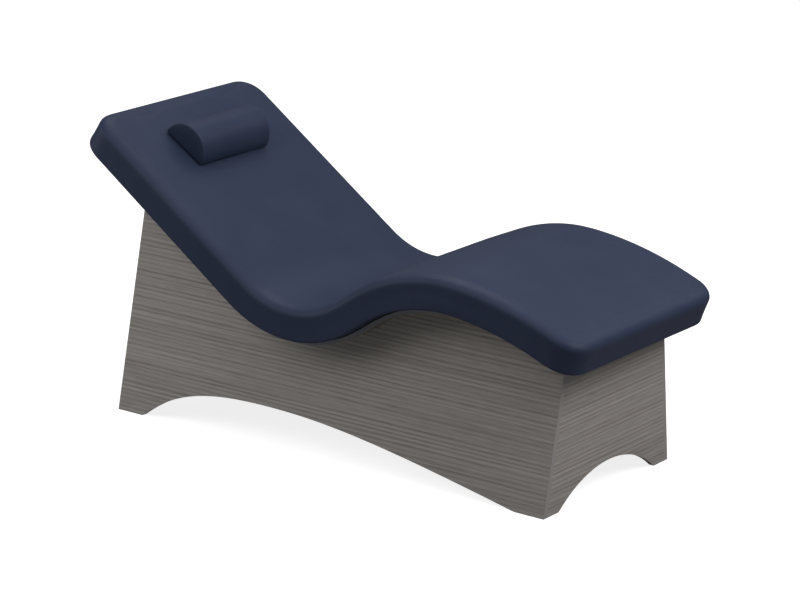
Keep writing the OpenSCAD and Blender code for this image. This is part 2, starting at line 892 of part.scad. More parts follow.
module cross_rail(n) {
    p = rail_point(n);
    color("#ab8f62") at_origin() difference() {
        intersection() {
            translate([p[0] - rail_thick / 2, -base_w / 2, p[1] - rail_depth])
                cube([rail_thick, base_w, 2 * rail_depth]);
            between_sides(panel_thick);
            under_deck();
        }
        for (side = [right, left]) {
            w = rib_thick + 2 * lap_gap;
            translate([p[0] - rail_thick, side * rib_y - w / 2, p[1] - rib_depth / 2])
                cube([2 * rail_thick, w, 2 * rib_depth]);
        }
    }
}

module head_cross_rail() { cross_rail(0); }
module hip_cross_rail() { cross_rail(1); }
module knee_cross_rail() { cross_rail(2); }
module foot_cross_rail() { cross_rail(3); }

module rail_blocks() {
    color("#c2a878") at_origin() for (n = [0 : len(rail_ss) - 1]) {
        p = rail_point(n);
        low = p[1] - rail_depth;
        for (side = [right, left]) {
            intersection() {
                translate([p[0] + rail_thick / 2, -base_w / 2, low])
                    cube([block_w, base_w, block_len]);
                side_slab(side, panel_thick, panel_thick + block_w);
            }
        }
    }
}

// A bracket between two stations: one leg on the side panel, the other under the deck
module deck_bracket(side, s0, s1) {
    intersection() {
        layer(deck_under - bracket_leg, deck_under, s0, s1, base_w);
        side_slab(side, panel_thick, panel_thick + bracket_thick);
    }
    intersection() {
        layer(deck_under - bracket_thick, deck_under, s0, s1, base_w);
        side_slab(side, panel_thick, panel_thick + bracket_leg);
    }
}

module deck_brackets() {
    color("#c9cbce") at_origin() for (side = [right, left]) {
        difference() {
            for (s = bracket_ss) {
                deck_bracket(side, s - bracket_w / 2, s + bracket_w / 2);
            }
            at_panel_bracket_screws(side) pan_screw(bracket_thick + bracket_screw_bite, thread_gap);
            at_deck_bracket_screws(side) pan_screw(bracket_thick + bracket_screw_bite, thread_gap);
        }
    }
}

module bracket_screws() {
    color("#a9abad") at_origin() for (side = [right, left]) {
        at_panel_bracket_screws(side) pan_screw(bracket_thick + bracket_screw_bite);
        at_deck_bracket_screws(side) pan_screw(bracket_thick + bracket_screw_bite);
    }
}

module side_panel(side) {
    color("#66625f") at_origin() difference() {
        intersection() {
            side_slab(side, 0, panel_thick);
            between_ends(band_thick);
            under_deck();
        }
        along_y(cut_span) side_arch();
        for (end = [head, foot]) {
            at_side_post_screws(side, end) wood_screw(post_w + post_screw_bite, thread_gap);
        }
        at_panel_bracket_screws(side) pan_screw(bracket_thick + bracket_screw_bite, thread_gap);
    }
}

module right_side_panel() { side_panel(right); }
module left_side_panel() { side_panel(left); }

module end_panel(end) {
    color("#7b7774") at_origin() difference() {
        intersection() {
            end_slab(end, 0, panel_thick);
            between_sides(panel_thick);
            under_deck();
        }
        along_x() end_arch();
        for (side = [right, left]) {
            at_end_post_screws(side, end) wood_screw(post_w + post_screw_bite, thread_gap);
        }
    }
}

module head_end_panel() { end_panel(head); }
module foot_end_panel() { end_panel(foot); }

module panel_edge_bands() {
    color("#7d7a77") at_origin() for (end = [head, foot]) {
        for (side = [right, left]) {
            intersection() {
                side_slab(side, 0, panel_thick);
                end_slab(end, 0, band_thick);
                under_deck();
            }
        }
    }
}

// Middle of a glide, where its insert sits in the post
glide_y = side_y(post_lift + insert_len / 2, post_mid);
function glide_x(end) = end_x(end, post_lift + insert_len / 2, post_mid);
stem_r = stem_d / 2;
insert_bore_r = stem_r + thread_gap;
insert_r = insert_bore_r + insert_wall;
glide_low = glide_floor_gap;
stem_low = glide_low + glide_h - glide_socket_h;
stem_top = stem_low + glide_socket_h + stem_len;
// The bore in a post ends just above the insert and the stem
glide_bore_top = max(post_lift + insert_len, stem_top) + fit_gap;

module at_glide(side, end) {
    translate([glide_x(end), side * glide_y, 0]) children();
}

module post(side, end) {
    color("#c2a878") at_origin() difference() {
        intersection() {
            side_slab(side, panel_thick, post_in);
            end_slab(end, panel_thick, post_in);
            under_deck();
            translate([-cut_span / 2, -base_w, post_lift]) cube([cut_span, 2 * base_w, panel_top_z]);
        }
        at_glide(side, end) cylinder(h = glide_bore_top, r = insert_r);
        at_side_post_screws(side, end) wood_screw(post_w + post_screw_bite, thread_gap);
        at_end_post_screws(side, end) wood_screw(post_w + post_screw_bite, thread_gap);
    }
}

module head_right_post() { post(right, head); }
module head_left_post() { post(left, head); }
module foot_right_post() { post(right, foot); }
module foot_left_post() { post(left, foot); }

module post_screws() {
    color("#b9bcc0") at_origin() for (end = [head, foot]) {
        for (side = [right, left]) {
            at_side_post_screws(side, end) wood_screw(post_w + post_screw_bite);
            at_end_post_screws(side, end) wood_screw(post_w + post_screw_bite);
        }
    }
}

module glide_inserts() {
    color("#d0c27a") at_origin() for (end = [head, foot]) {
        for (side = [right, left]) {
            at_glide(side, end) translate([0, 0, post_lift]) difference() {
                union() {
                    cylinder(h = insert_len, r = insert_r);
                    translate([0, 0, -insert_flange_h]) cylinder(h = insert_flange_h, r = insert_flange_r);
                }
                translate([0, 0, -overrun]) cylinder(h = insert_len + 2 * overrun, r = insert_bore_r);
            }
        }
    }
}

module glide_stem(side, end) {
    color("#b9bcc0") at_origin() at_glide(side, end) translate([0, 0, stem_low])
        cylinder(h = glide_socket_h + stem_len, r = stem_r);
}

module glide_foot(side, end) {
    color("#2a2b2e") at_origin() at_glide(side, end) translate([0, 0, glide_low]) difference() {
        rotate_extrude() polygon([
            [0, 0], [glide_d / 2 - glide_chamfer, 0], [glide_d / 2, glide_chamfer],
            [glide_d / 2, glide_rim_h], [glide_boss_r, glide_h], [0, glide_h]
        ]);
        translate([0, 0, glide_h - glide_socket_h]) cylinder(h = glide_h, r = stem_r);
    }
}

module head_right_glide_stem() { glide_stem(right, head); }
module head_left_glide_stem() { glide_stem(left, head); }
module foot_right_glide_stem() { glide_stem(right, foot); }
module foot_left_glide_stem() { glide_stem(left, foot); }
module head_right_glide_foot() { glide_foot(right, head); }
module head_left_glide_foot() { glide_foot(left, head); }
module foot_right_glide_foot() { glide_foot(right, foot); }
module foot_left_glide_foot() { glide_foot(left, foot); }

mattress_cover();
comfort_foam();
support_foam();
mattress_bottom_cloth();
mattress_hook_strips();
deck_loop_strips();
headrest_loop_strips();
bolster_cover();
bolster_foam();
bolster_base_cloth();
bolster_hook_strips();
contour_deck();
deck_edge_band();
deck_screws();
right_rib();
left_rib();
head_cross_rail();
hip_cross_rail();
knee_cross_rail();
foot_cross_rail();
rail_blocks();
deck_brackets();
bracket_screws();
right_side_panel();
left_side_panel();
head_end_panel();
foot_end_panel();
panel_edge_bands();
head_right_post();
head_left_post();
foot_right_post();
foot_left_post();
post_screws();
glide_inserts();
head_right_glide_stem();
head_left_glide_stem();
foot_right_glide_stem();
foot_left_glide_stem();
head_right_glide_foot();
head_left_glide_foot();
foot_right_glide_foot();
foot_left_glide_foot();
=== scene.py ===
"""Looks of a spa relaxation lounger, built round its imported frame.

The navy mattress and bolster are upholstered here over the shapes that the frame holds. The base,
the deck and everything under them keep the frame's own shapes and get their finishes here. Lengths
are in metres and in the frame's own axes: X towards the foot end, Y towards the left side, and the
floor at z = 0. Finishes give their patterns' sizes in millimetres.
"""

from __future__ import annotations

import logging
import math
from dataclasses import dataclass
from enum import Enum
from typing import Any, ClassVar, Sequence

import bpy
import numpy as np
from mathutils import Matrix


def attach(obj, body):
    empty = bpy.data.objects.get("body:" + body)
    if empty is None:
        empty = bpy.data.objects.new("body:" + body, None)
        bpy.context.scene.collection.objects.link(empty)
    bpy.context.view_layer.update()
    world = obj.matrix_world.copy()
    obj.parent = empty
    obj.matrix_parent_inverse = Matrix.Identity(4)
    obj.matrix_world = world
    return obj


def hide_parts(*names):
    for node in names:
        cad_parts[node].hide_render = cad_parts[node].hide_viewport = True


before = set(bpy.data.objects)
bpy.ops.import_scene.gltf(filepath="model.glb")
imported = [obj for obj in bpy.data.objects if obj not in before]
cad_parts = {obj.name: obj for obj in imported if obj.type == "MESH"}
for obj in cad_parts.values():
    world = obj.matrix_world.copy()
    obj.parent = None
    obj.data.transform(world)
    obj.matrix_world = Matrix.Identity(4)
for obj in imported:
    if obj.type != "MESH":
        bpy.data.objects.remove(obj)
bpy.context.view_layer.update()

LOG = logging.getLogger("lounger")
MM = 0.001
WHITE = (1.0, 1.0, 1.0, 1.0)
SETTLING_FRAMES = 20
CLOTH_SETTINGS = {
    "use_pressure": True,
    "uniform_pressure_force": 4.0,
    "quality": 4,
    "tension_stiffness": 30.0,
    "compression_stiffness": 30.0,
    "shear_stiffness": 10.0,
    "bending_stiffness": 2.0,
}

Pair = tuple[float, float]
Triple = tuple[float, float, float]
Size = float | Pair | Triple  # along X, Y and Z; where some lack, the first stands for them
Pairs = list[Pair]
Faces = list[list[int]]
Node = bpy.types.Node
Socket = bpy.types.NodeSocket


class Axis(Enum):
    """A direction of the frame, by its place in a vector."""

    X = 0
    Y = 1
    Z = 2


def to_linear(colour: str) -> tuple[float, float, float, float]:
    """Turns an sRGB hex colour to linear.

    Args:
        colour: six hex digits after a hash sign.

    Returns:
        Red, green and blue as linear shares, and an alpha of 1.
    """
    shares = [int(colour[i : i + 2], 16) / 255 for i in (1, 3, 5)]
    linear = [c / 12.92 if c <= 0.04045 else ((c + 0.055) / 1.055) ** 2.4 for c in shares]
    return (*linear, 1.0)


@dataclass
class NodeKit:
    """One node tree, and the groups of nodes that finishes are built from."""

    tree: bpy.types.NodeTree

    def add(self, kind: str, inputs: dict[Any, Any] | None = None, **settings: Any) -> Node:
        """Adds a node, sets its properties, and sets or links its inputs.

        Args:
            kind: the node's type name without its first part, ShaderNode.
            inputs: by name or number, each one's value, the output that feeds it, or None.
            **settings: properties of the node itself.

        Returns:
            The new node.
        """
        node = self.tree.nodes.new(f"ShaderNode{kind}")
        for name, value in settings.items():
            setattr(node, name, value)
        for name, value in (inputs or {}).items():
            if isinstance(value, Socket):
                self.tree.links.new(value, node.inputs[name])
            elif value is not None:
                node.inputs[name].default_value = value
        return node

    def place(self, size_mm: Size) -> Socket:
        """Finds places on the object, counted in a pattern's own sizes.

        Args:
            size_mm: the pattern's size.

        Returns:
            The scaled object coordinates.
        """
        sizes = size_mm if isinstance(size_mm, tuple) else (size_mm,)
        sizes = sizes[:1] * (3 - len(sizes)) + sizes
        scale = tuple(1 / (length * MM) for length in sizes)
        inputs = {"Vector": self.add("TexCoord").outputs["Object"], "Scale": scale}
        return self.add("Mapping", inputs).outputs["Vector"]

    def noise(self, size_mm: Size, detail: float) -> Socket:
        """Returns cloudy noise around 0.5, with blots of a size and some finer layers."""
        inputs = {"Vector": self.place(size_mm), "Scale": 1.0, "Detail": detail}
        return self.add("TexNoise", inputs).outputs["Fac"]

    def cells(self, pitch_mm: float, randomness: float = 1.0, feature: str = "F1") -> Socket:
        """Returns the distance from the nearest of many cells, which may stray from a grid."""
        inputs = {"Vector": self.place(pitch_mm), "Scale": 1.0, "Randomness": randomness}
        return self.add("TexVoronoi", inputs, feature=feature).outputs["Distance"]

    def maths(self, operation: str, *values: Any) -> Socket:
        """Returns what an operation makes of numbers or outputs."""
        inputs = dict(enumerate(values))
        return self.add("Math", inputs, operation=operation).outputs[0]

    def sum_of(self, *parts: tuple[Socket, float]) -> Socket:
        """Adds up values, each with its own weight.

        Args:
            *parts: each value and its weight.

        Returns:
            The weighted sum.
        """
        total: Any = 0.0
        for value, weight in parts:
            total = self.maths("MULTIPLY_ADD", value, weight, total)
        return total

    def spread(self, value: Socket, low: float, high: float) -> Socket:
        """Stretches the values between low and high to the whole range from 0 to 1."""
        inputs = {"Value": value, "From Min": low, "From Max": high}
        return self.add("MapRange", inputs).outputs["Result"]

    def mix(self, share: Socket, first: Any, second: Any) -> Socket:
        """Returns a mix of two colours, each a hex one, a linear one or an output."""
        ends = [to_linear(c) if isinstance(c, str) else c for c in (first, second)]
        return self.add("Mix", {0: share, 6: ends[0], 7: ends[1]}, data_type="RGBA").outputs[2]

    def facing(self, axis: Axis, least: float) -> Socket:
        """Tells the faces that look along an axis from the others.

        Args:
            axis: the axis, either way along it.
            least: the smallest share of their normal that lies along it.

        Returns:
            1 on those faces and 0 on the others.
        """
        normal = self.add("NewGeometry").outputs["True Normal"]
        share = self.add("SeparateXYZ", {0: normal}).outputs[axis.value]
        return self.maths("GREATER_THAN", self.maths("ABSOLUTE", share), least)

    def bump(self, height: Socket, depth_mm: float, normal: Socket | None = None) -> Socket:
        """Returns the normal of a height from 0 to 1, laid over a finer normal if one is given."""
        inputs = {"Height": height, "Distance": depth_mm * MM, "Normal": normal, "Strength": 1.0}
        return self.add("Bump", inputs).outputs["Normal"]

    def uneven(self, value: Socket, middle: float, swing: float) -> Socket:
        """Returns a number that swings about its middle with a value around 0.5."""
        return self.maths("MULTIPLY_ADD", value, swing, middle - swing / 2)

    def surface(self, colour: Socket, roughness: Any, normal: Socket, gloss: Pair | None) -> Node:
        """Makes the shader that all finishes but the floor's end in.

        Args:
            colour: the base colour.
            roughness: a number or the output that gives it.
            normal: the bumped normal.
            gloss: the index of refraction and the specular level, or None for bare metal.

        Returns:
            The shader node.
        """
        inputs = {"Base Color": colour, "Roughness": roughness, "Normal": normal}
        inputs["IOR"], inputs["Specular IOR Level"] = gloss or (None, None)
        inputs["Metallic"] = 1.0 if gloss is None else None
        return self.add("BsdfPrincipled", inputs)


@dataclass(frozen=True)
class Finish:
    """A surface finish, whose material is built once and then shared."""

    name: str
    made: ClassVar[dict[str, bpy.types.Material]] = {}

    def material(self) -> bpy.types.Material:
        """Returns the finish's material, which the first call builds."""
        if self.name not in Finish.made:
            material = bpy.data.materials.new(self.name)
            material.use_nodes = True
            kit = NodeKit(material.node_tree)
            kit.tree.nodes.clear()
            kit.add("OutputMaterial", {"Surface": self.shader(kit).outputs[0]})
            Finish.made[self.name] = material
        return Finish.made[self.name]

    def shader(self, kit: NodeKit) -> Node:
        """Builds the finish's nodes.

        Args:
            kit: the material's empty node tree.

        Returns:
            The shader node that goes to the output.
        """
        raise NotImplementedError


@dataclass(frozen=True)
class UpholsteryVinyl(Finish):
    """Embossed upholstery vinyl: a soft, even sheen over a fine pebbled grain."""

    colour: str = "#323a51"
    worn: str = "#353d54"
    grain_mm: float = 2.4  # real grain is about 0.8 mm, drawn coarser so that it shows
    grain_deep_mm: float = 0.12
    give_mm: float = 90.0
    give_deep_mm: float = 0.6
    worn_mm: float = 140.0
    roughness: float = 0.5
    uneven: float = 0.12
    specular: float = 0.15

    def shader(self, kit: NodeKit) -> Node:
        """Builds a pebbled, slightly uneven satin surface."""
        cells = kit.cells(self.grain_mm, 0.9, "SMOOTH_F1")
        creases = kit.noise(self.grain_mm * 3, 3.0)
        give = kit.noise(self.give_mm, 1.0)
        fine = kit.bump(kit.sum_of((cells, 0.5), (creases, 0.3)), self.grain_deep_mm)
        worn = kit.spread(kit.noise(self.worn_mm, 3.0), 0.35, 0.7)
        colour = kit.mix(worn, self.colour, self.worn)
        rough = kit.uneven(creases, self.roughness, self.uneven)
        normal = kit.bump(give, self.give_deep_mm, fine)
        return kit.surface(colour, rough, normal, (1.5, self.specular))


@dataclass(frozen=True)
class WoodGrainLaminate(Finish):
    """Pressed laminate with a printed straight grain: flat, matt, with level streaks.

    Each kind of streak has a length and a height, coarser than a real print so that it shows.
    """

    face: Axis
    light: str = "#c0bbb5"
    dark: str = "#8a8380"
    pore: str = "#75716c"
    glint: str = "#d7d1cc"
    edge: str = "#a59f9c"
    band_mm: Pair = (2600.0, 14.0)
    line_mm: Pair = (1500.0, 5.0)
    fibre_mm: Pair = (500.0, 3.0)
    fleck_mm: Pair = (70.0, 4.0)
    pore_mm: Pair = (90.0, 1.5)
    glint_mm: Pair = (380.0, 2.7)
    mark_share: float = 0.3
    roughness: float = 0.55
    print_deep_mm: float = 0.05

    def shader(self, kit: NodeKit) -> Node:
        """Builds level streaks on the broad faces and plain edging on the cut ones."""
        band = self.band(kit)
        line = kit.noise(self.line_mm, 0.0)
        fibre = kit.noise(self.fibre_mm, 0.0)
        fleck = kit.noise(self.fleck_mm, 1.0)
        tone = kit.sum_of((band, 0.2), (line, 0.32), (fibre, 0.2), (fleck, 0.28))
        print_share = kit.spread(tone, 0.25, 0.75)
        grain = kit.mix(print_share, self.dark, self.light)
        for size_mm, low, high, colour in (
            (self.pore_mm, 0.62, 0.8, self.pore),
            (self.glint_mm, 0.58, 0.76, self.glint),
        ):
            marks = kit.spread(kit.noise(size_mm, 1.0), low, high)
            grain = kit.mix(kit.maths("MULTIPLY", marks, self.mark_share), grain, colour)
        colour = kit.mix(kit.facing(self.face, 0.9), self.edge, grain)
        normal = kit.bump(print_share, self.print_deep_mm)
        return kit.surface(colour, self.roughness, normal, (1.5, 0.35))

    def band(self, kit: NodeKit) -> Socket:
        """Returns broad level bands that wander a little."""
        inputs = {
            "Vector": kit.place(self.band_mm),
            "Scale": math.pi / 10,
            "Distortion": 4.0,
            "Detail": 1.0,
            "Detail Scale": 0.5,
        }
        return kit.add("TexWave", inputs, bands_direction="Z").outputs["Fac"]


@dataclass(frozen=True)
class MouldedPlastic(Finish):
    """Moulded or extruded plastic: plain, with a fine matt texture."""

    colour: str
    lighter: float = 1.06  # how much lighter than the colour its lightest spots are
    grit_mm: float = 6.0
    grit_deep_mm: float = 0.04
    gloss: Pair = (1.52, 0.4)
    roughness: float = 0.5

    def shader(self, kit: NodeKit) -> Node:
        """Builds a plain plastic with a faint unevenness."""
        grit = kit.noise(self.grit_mm, 3.0)
        lighter = tuple(min(1.0, c * self.lighter) for c in to_linear(self.colour))
        colour = kit.mix(grit, self.colour, lighter)
        return kit.surface(colour, self.roughness, kit.bump(grit, self.grit_deep_mm), self.gloss)


@dataclass(frozen=True)
class BirchPlywood(Finish):
    """Sanded birch plywood: flowing grain on the faces, dark and light plies on the edges."""

    thick_axis: Axis
    face: str = "#d9bd92"
    streak: str = "#bd9b6c"
    glue: str = "#7a5836"
    ply_mm: float = 2.0  # plies are 1.4 mm, drawn a little thicker so that they show
    grain_mm: Triple = (220.0, 16.0, 60.0)
    grain_deep_mm: float = 0.06
    broad_from: float = 0.8  # the least share of a broad face's normal

    def shader(self, kit: NodeKit) -> Node:
        """Builds face grain, and plies where a cut edge shows."""
        share = kit.spread(kit.noise(self.grain_mm, 4.0), 0.35, 0.65)
        face = kit.mix(share, self.face, self.streak)
        place = kit.add("SeparateXYZ", {0: kit.place(self.ply_mm * 2)})
        across = kit.maths("FRACT", place.outputs[self.thick_axis.value])
        edge = kit.mix(kit.maths("GREATER_THAN", across, 0.5), face, self.glue)
        colour = kit.mix(kit.facing(self.thick_axis, self.broad_from), edge, face)
        return kit.surface(colour, 0.6, kit.bump(share, self.grain_deep_mm), (1.5, 0.3))


@dataclass(frozen=True)
class PlanedPine(Finish):
    """Planed pine: warm, with dark late-wood lines that run along Z."""

    early: str = "#e0c08a"
    late: str = "#b98a4c"
    ring_mm: Triple = (5.0, 5.0, 200.0)
    pore_mm: Triple = (1.2, 1.2, 40.0)
    pore_deep_mm: float = 0.08

    def shader(self, kit: NodeKit) -> Node:
        """Builds growth rings and pores."""
        place = kit.place(self.ring_mm)
        inputs = {"Vector": place, "Scale": 0.32, "Distortion": 1.6, "Detail": 2.0}
        rings = kit.add("TexWave", inputs, wave_type="RINGS").outputs["Fac"]
        pores = kit.noise(self.pore_mm, 2.0)
        colour = kit.mix(kit.sum_of((rings, 0.8), (pores, 0.2)), self.early, self.late)
        return kit.surface(colour, 0.62, kit.bump(pores, self.pore_deep_mm), (1.5, 0.3))


@dataclass(frozen=True)
class PolyurethaneFoam(Finish):
    """Cut polyurethane foam: dull, with open pores."""

    colour: str
    pore: str
    cell_mm: float = 2.0  # real cells are under 1 mm, drawn coarser so that they show
    cell_deep_mm: float = 0.5

    def shader(self, kit: NodeKit) -> Node:
        """Builds open cells in a dull surface."""
        cells = kit.cells(self.cell_mm)
        colour = kit.mix(cells, self.pore, self.colour)
        return kit.surface(colour, 0.95, kit.bump(cells, self.cell_deep_mm), (1.45, 0.1))


@dataclass(frozen=True)
class BondedCloth(Finish):
    """Spun-bonded lining cloth: thin black felt pressed in a grid of small dots."""

    colour: str = "#1f2127"
    dot: str = "#121318"
    dot_mm: float = 4.0
    fibre_mm: float = 1.5
    felt_deep_mm: float = 0.3

    def shader(self, kit: NodeKit) -> Node:
        """Builds pressed dots in a felted surface."""
        pressed = kit.spread(kit.cells(self.dot_mm, 0.1), 0.2, 0.35)
        height = kit.sum_of((pressed, 0.6), (kit.noise(self.fibre_mm, 4.0), 0.4))
        colour = kit.mix(pressed, self.dot, self.colour)
        return kit.surface(colour, 0.9, kit.bump(height, self.felt_deep_mm), (1.45, 0.15))


@dataclass(frozen=True)
class HookAndLoopTape(Finish):
    """Woven nylon tape with a face of hooks or loops: dark, dull and bristly."""

    colour: str
    pile: str
    pitch_mm: float
    pile_deep_mm: float = 0.6

    def shader(self, kit: NodeKit) -> Node:
        """Builds rows of small tufts."""
        tufts = kit.spread(kit.cells(self.pitch_mm, 0.35), 0.1, 0.6)
        colour = kit.mix(tufts, self.pile, self.colour)
        return kit.surface(colour, 0.8, kit.bump(tufts, self.pile_deep_mm), (1.53, 0.25))


@dataclass(frozen=True)
class PlatedMetal(Finish):
    """Plated or turned metal: bright, with faint lines from rolling or turning."""

    colour: str
    shade: str
    roughness: float
    line_mm: Triple = (0.6, 0.6, 8.0)
    uneven: float = 0.2
    line_deep_mm: float = 0.02

    def shader(self, kit: NodeKit) -> Node:
        """Builds a bright metal with faint lines and spots."""
        lines = kit.noise(self.line_mm, 3.0)
        rough = kit.uneven(lines, self.roughness, self.uneven)
        colour = kit.mix(lines, self.shade, self.colour)
        return kit.surface(colour, rough, kit.bump(lines, self.line_deep_mm), None)


@dataclass(frozen=True)
class StudioFloor(Finish):
    """White floor that the camera sees as white, with the object's soft shadow on it."""

    albedo: float = 0.25
    seen: float = 0.55
    glow: float = 0.84
    near: float = 0.9
    far: float = 2.2

    def shader(self, kit: NodeKit) -> Node:
        """Builds a plain diffuse floor for light, and a brighter one for the camera."""
        greys = ((grey,) * 3 + (1.0,) for grey in (self.albedo, self.seen))
        plain, lit = (kit.add("BsdfDiffuse", {"Color": grey}) for grey in greys)
        place = kit.add("TexCoord").outputs["Object"]
        away = kit.add("VectorMath", {0: place}, operation="LENGTH")
        fade = kit.spread(away.outputs["Value"], self.near, self.far)
        glow = kit.maths("MULTIPLY_ADD", fade, 1.0 - self.glow, self.glow)
        shine = kit.add("Emission", {"Color": WHITE, "Strength": glow})
        bright = kit.add("AddShader", {0: lit.outputs[0], 1: shine.outputs[0]})
        seen = kit.add("LightPath").outputs["Is Camera Ray"]
        return kit.add("MixShader", {0: seen, 1: plain.outputs[0], 2: bright.outputs[0]})


NAVY_VINYL = UpholsteryVinyl("upholstery_vinyl_embossed")
BOLSTER_VINYL = UpholsteryVinyl("bolster_vinyl_embossed")
COMFORT_FOAM = PolyurethaneFoam("polyurethane_foam_soft", colour="#efe6bd", pore="#cbbf8e")
SUPPORT_FOAM = PolyurethaneFoam("polyurethane_foam_firm", colour="#c3d0d8", pore="#93a3ad")
LINING = BondedCloth("lining_cloth_spun_bonded")
HOOKS = HookAndLoopTape("hook_tape_nylon", colour="#15171b", pile="#2b2e35", pitch_mm=2.0)
LOOPS = HookAndLoopTape("loop_tape_nylon", colour="#22262f", pile="#343a47", pitch_mm=1.4)
SIDE_LAMINATE = WoodGrainLaminate("laminate_wood_grain_sides", face=Axis.Y)
END_LAMINATE = WoodGrainLaminate("laminate_wood_grain_ends", face=Axis.X)
PANEL_EDGING = MouldedPlastic("abs_edging_panels", colour="#a49f9d")
DECK_EDGING = MouldedPlastic("abs_edging_deck", colour="#8d9097")
DECK_PLY = BirchPlywood(
    "birch_plywood_deck_stained_grey",
    thick_axis=Axis.Z,
    face="#8b8781",
    streak="#78736d",
    glue="#4a4641",
    broad_from=0.5,  # its faces turn with the contour
)
RIB_PLY = BirchPlywood("birch_plywood_ribs", thick_axis=Axis.Y, grain_mm=(16.0, 200.0, 60.0))
RAIL_PLY = BirchPlywood("birch_plywood_rails", thick_axis=Axis.X)
PINE = PlanedPine("pine_planed")
ZINC = PlatedMetal("steel_zinc_plated", colour="#c9ccce", shade="#9fa4a8", roughness=0.38)
BRACKET = PlatedMetal(
    "steel_pressed_zinc_plated", "#c2c6c9", "#9a9fa3", roughness=0.42, line_mm=(8.0, 0.8, 0.8)
)
BRASS = PlatedMetal("brass_turned", colour="#d8b766", shade="#a98b45", roughness=0.35)
NYLON = MouldedPlastic(
    "nylon_moulded", "#2a2b2e", lighter=1.3, grit_mm=0.8, grit_deep_mm=0.05, gloss=(1.53, 0.45)
)
FLOOR = StudioFloor("studio_floor_white")


@dataclass(frozen=True)
class Contour:
    """Side line of the mattress underside: straight and round stretches from the head end."""

    back_len: float = 0.750
    back_slope: float = math.radians(35.3)
    seat_r: float = 0.423
    thigh_slope: float = math.radians(34)
    thigh_len: float = 0.0665
    knee_r: float = 0.488
    knee_slope: float = math.radians(6)
    calf_r: float = 1.103
    calf_slope: float = math.radians(22)
    calf_len: float = 0.1215
    seat_low_h: float = 0.3875
    seat_x: float = -0.101408  # where the seat's lowest point lies along the frame's X

    def stretches(self) -> Pairs:
        """Returns each stretch's length and curvature."""
        return [
            (self.back_len, 0.0),
            (self.seat_r * self.back_slope, 1 / self.seat_r),
            (self.seat_r * self.thigh_slope, 1 / self.seat_r),
            (self.thigh_len, 0.0),
            (self.knee_r * (self.thigh_slope + self.knee_slope), -1 / self.knee_r),
            (self.calf_r * (self.calf_slope - self.knee_slope), -1 / self.calf_r),
            (self.calf_len, 0.0),
        ]

    def length(self) -> float:
        """Returns the contour's whole length."""
        return sum(length for length, _ in self.stretches())

    def starts(self) -> list[tuple[float, ...]]:
        """Works out where each stretch starts.

        Returns:
            Each stretch's first station, X, Z, heading and curvature.
        """
        heading = -self.back_slope
        x = self.seat_x - self.seat_r * math.sin(self.back_slope)
        x -= self.back_len * math.cos(self.back_slope)
        z = self.seat_low_h + self.seat_r * (1 - math.cos(self.back_slope))
        z += self.back_len * math.sin(self.back_slope)
        station = 0.0
        rows = []
        for length, curve in self.stretches():
            rows.append((station, x, z, heading, curve))
            x, z, heading = self.follow((x, z, heading, curve), length)
            station += length
        return rows

    @staticmethod
    def follow(start: Sequence[Any], along: Any) -> tuple[Any, Any, Any]:
        """Follows one stretch for a way, or an array of them.

        Args:
            start: its first X, Z and heading, and its curvature.
            along: how far it is followed.

        Returns:
            The X, Z and heading there.
        """
        x, z, heading, curve = start
        turned = heading + along * curve
        bend = np.where(curve, curve, 1.0)
        ahead = np.where(curve, (np.sin(turned) - np.sin(heading)) / bend, along * np.cos(heading))
        up = np.where(curve, (np.cos(heading) - np.cos(turned)) / bend, along * np.sin(heading))
        return x + ahead, z + up, turned

    def at(self, stations: np.ndarray, heights: np.ndarray) -> tuple[np.ndarray, np.ndarray]:
        """Finds places by their station and their height above the underside.

        Args:
            stations: distances along the underside from the head end.
            heights: heights square to the underside.

        Returns:
            The places' X and Z.
        """
        rows = np.array(self.starts())
        index = np.clip(np.searchsorted(rows[:, 0], stations, side="right") - 1, 0, len(rows) - 1)
        first, *start = rows[index].T
        x, z, turned = self.follow(start, stations - first)
        return x - heights * np.sin(turned), z + heights * np.cos(turned)


def ring_faces(rings: int, size: int) -> Faces:
    """Joins closed rings of points, each to the next.

    Args:
        rings: how many rings there are.
        size: how many points each of them has.

    Returns:
        The faces, each with a side of the lower ring first.
    """
    here = np.arange(size)
    ahead = (here + 1) % size
    faces: Faces = []
    for a in range(0, (rings - 1) * size, size):
        b = a + size
        faces += np.column_stack([a + here, a + ahead, b + ahead, b + here]).tolist()
    return faces


def smooth_step(value: np.ndarray) -> np.ndarray:
    """Eases values from 0 to 1, level at both ends."""
    held = np.clip(value, 0.0, 1.0)
    return held * held * (3 - 2 * held)


def shade_smooth(mesh: bpy.types.Mesh) -> None:
    """Shades all faces of a mesh smooth."""
    mesh.polygons.foreach_set("use_smooth", np.ones(len(mesh.polygons), dtype=bool))


def add_mesh(name: str, points: np.ndarray, faces: Faces) -> bpy.types.Object:
    """Makes a smooth-shaded mesh object.

    Args:
        name: the piece's name.
        points: the corners, in the frame.
        faces: each face's corners, by their place in points.

    Returns:
        The new object, in the scene.
    """
    mesh = bpy.data.meshes.new(name)
    mesh.from_pydata(points.tolist(), [], faces)
    shade_smooth(mesh)
    mesh.update()
    made = bpy.data.objects.new(name, mesh)
    bpy.context.scene.collection.objects.link(made)
    return made


def vectors_of(rows: Any, name: str) -> np.ndarray:
    """Returns one vector of each row of a mesh's collection."""
    flat = np.zeros(len(rows) * 3)
    rows.foreach_get(name, flat)
    return flat.reshape(-1, 3)


